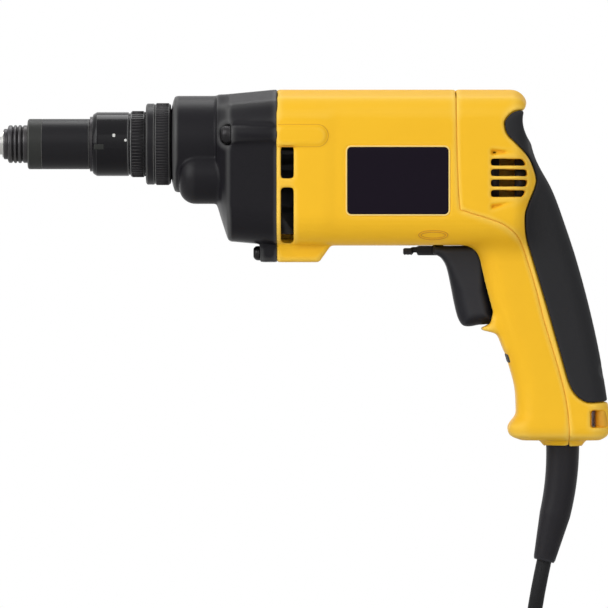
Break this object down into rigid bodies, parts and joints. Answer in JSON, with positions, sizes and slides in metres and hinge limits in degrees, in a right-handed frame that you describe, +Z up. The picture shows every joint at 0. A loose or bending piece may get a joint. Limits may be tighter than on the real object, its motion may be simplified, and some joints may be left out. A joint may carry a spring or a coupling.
{
  "type": "electric screwdriver",
  "caption": "Corded pistol-grip electric screwdriver: hexagonal quick-release bit holder, adjustable dog clutch, geared motor, trigger, reversing lever and rubber-backed grip.",
  "frame": {"origin": "middle of the grip, on the tool's centre plane, where a hand holds it", "axes": "+X from the nose to the back of the tool, along the spindle; +Y to the tool's right; +Z up"},
  "size_m": [0.3216, 0.129, 0.3314],
  "materials": {
    "yellow_plastic": "moulded, fine spark-eroded grain",
    "rubber_grip": "matte overmoulded rubber",
    "black_rubber": "smooth matte rubber",
    "plate_black": "satin film, bare",
    "black_case": "black painted casting",
    "black_steel": "blackened steel",
    "black_plastic": "moulded, semi-gloss",
    "sleeve_steel": "blackened steel, worn at the ridges",
    "bright_steel": "turned and ground",
    "gear_steel": "cut and hardened",
    "core_steel": "stacked laminations",
    "cast_plate": "die cast",
    "bronze": "sintered bronze",
    "copper": "enamelled copper wire",
    "brush_brass": "pressed brass",
    "carbon": "pressed carbon",
    "fan_plastic": "moulded",
    "wire_cover": "insulated wire",
    "tie_strap": "moulded strap"
  },
  "bodies": {
    "housing": {"motor_housing": "yellow_plastic", "handle_cover": "yellow_plastic", "rear_grip": "rubber_grip", "name_plates": "plate_black", "gear_case": "black_case", "gear_case_screws": "black_steel", "handle_cover_screws": "bright_steel", "bearing_plate": "cast_plate", "front_bearing": "bright_steel", "rear_bearing": "bright_steel", "lay_bushes": "bronze", "spindle_rear_bush": "bronze", "spring_seat": "gear_steel", "clutch_tube": "gear_steel", "nose_sleeve": "black_steel", "nose_bush": "bronze", "fan_baffle": "black_plastic", "field_core": "core_steel", "field_coils": "copper", "brush_holders": "brush_brass", "carbon_brushes": "carbon", "brush_springs": "bright_steel", "switch_body": "black_plastic", "strain_relief": "black_rubber", "cord_clamp": "black_plastic", "cord_clamp_screws": "bright_steel", "lead_wires": "wire_cover", "power_cord": "black_rubber", "cord_coil": "black_rubber", "cord_tie": "tie_strap", "cord_tail": "black_rubber", "plug_body": "black_rubber", "plug_blades": "brush_brass", "trigger_spring": "bright_steel"},
    "armature": {"armature_shaft": "bright_steel", "armature_core": "core_steel", "armature_windings": "copper", "commutator": "copper", "fan": "fan_plastic"},
    "lay_train": {"lay_gear": "gear_steel", "lay_shaft": "bright_steel"},
    "drive_gear": {"spindle_gear": "gear_steel"},
    "spindle": {"output_spindle": "bright_steel", "gear_washer": "bright_steel", "bit_ball": "bright_steel", "thrust_washer": "bright_steel", "clutch_spring": "bright_steel", "sleeve_retainer": "bright_steel", "sleeve_spring": "bright_steel"},
    "clutch": {"clutch_plate": "gear_steel"},
    "bit_holder": {"bit_sleeve": "sleeve_steel"},
    "collar": {"adjusting_collar": "black_plastic"},
    "lock": {"lock_ring": "black_steel"},
    "trigger_blade": {"trigger": "black_plastic"},
    "reverser": {"reverse_lever": "black_plastic"}
  },
  "joints": [
    {"name": "armature_spin", "type": "hinge", "parent": "housing", "child": "armature", "pos_m": [-0.08, 0, 0.0788], "axis": [1, 0, 0], "continuous": true},
    {"name": "lay_spin", "type": "hinge", "parent": "housing", "child": "lay_train", "pos_m": [-0.165, -0.01514, 0.07333], "axis": [1, 0, 0], "continuous": true},
    {"name": "drive_gear_spin", "type": "hinge", "parent": "housing", "child": "drive_gear", "pos_m": [-0.173, 0, 0.0913], "axis": [1, 0, 0], "continuous": true},
    {"name": "spindle_spin", "type": "hinge", "parent": "housing", "child": "spindle", "pos_m": [-0.22, 0, 0.0913], "axis": [1, 0, 0], "continuous": true},
    {"name": "clutch_slip", "type": "slide", "parent": "spindle", "child": "clutch", "axis": [-1, 0, 0], "range_m": [0, 0.0028], "stiffness_N_per_m": 6000, "springref_m": -0.004, "deforming": ["clutch_spring"]},
    {"name": "bit_release", "type": "slide", "parent": "spindle", "child": "bit_holder", "axis": [-1, 0, 0], "range_m": [0, 0.004], "stiffness_N_per_m": 900, "springref_m": -0.004, "deforming": ["sleeve_spring"]},
    {"name": "clutch_adjust", "type": "hinge", "parent": "housing", "child": "collar", "pos_m": [-0.22, 0, 0.0913], "axis": [1, 0, 0], "range_deg": [0, 300]},
    {"name": "collar_unlock", "type": "slide", "parent": "housing", "child": "lock", "axis": [-1, 0, 0], "range_m": [0, 0.004]},
    {"name": "trigger_pull", "type": "slide", "parent": "housing", "child": "trigger_blade", "axis": [1, 0, 0], "range_m": [0, 0.006], "stiffness_N_per_m": 1500, "springref_m": -0.004, "deforming": ["trigger_spring"]},
    {"name": "reverse_throw", "type": "hinge", "parent": "housing", "child": "reverser", "pos_m": [-0.054, 0, 0.036], "axis": [0, 0, 1], "range_deg": [-14, 14]}
  ],
  "couplings": [
    {"joint": "lay_spin", "follows": "armature_spin", "ratio": -0.27778},
    {"joint": "drive_gear_spin", "follows": "armature_spin", "ratio": 0.095238},
    {"joint": "spindle_spin", "follows": "armature_spin", "ratio": 0.095238}
  ]
}
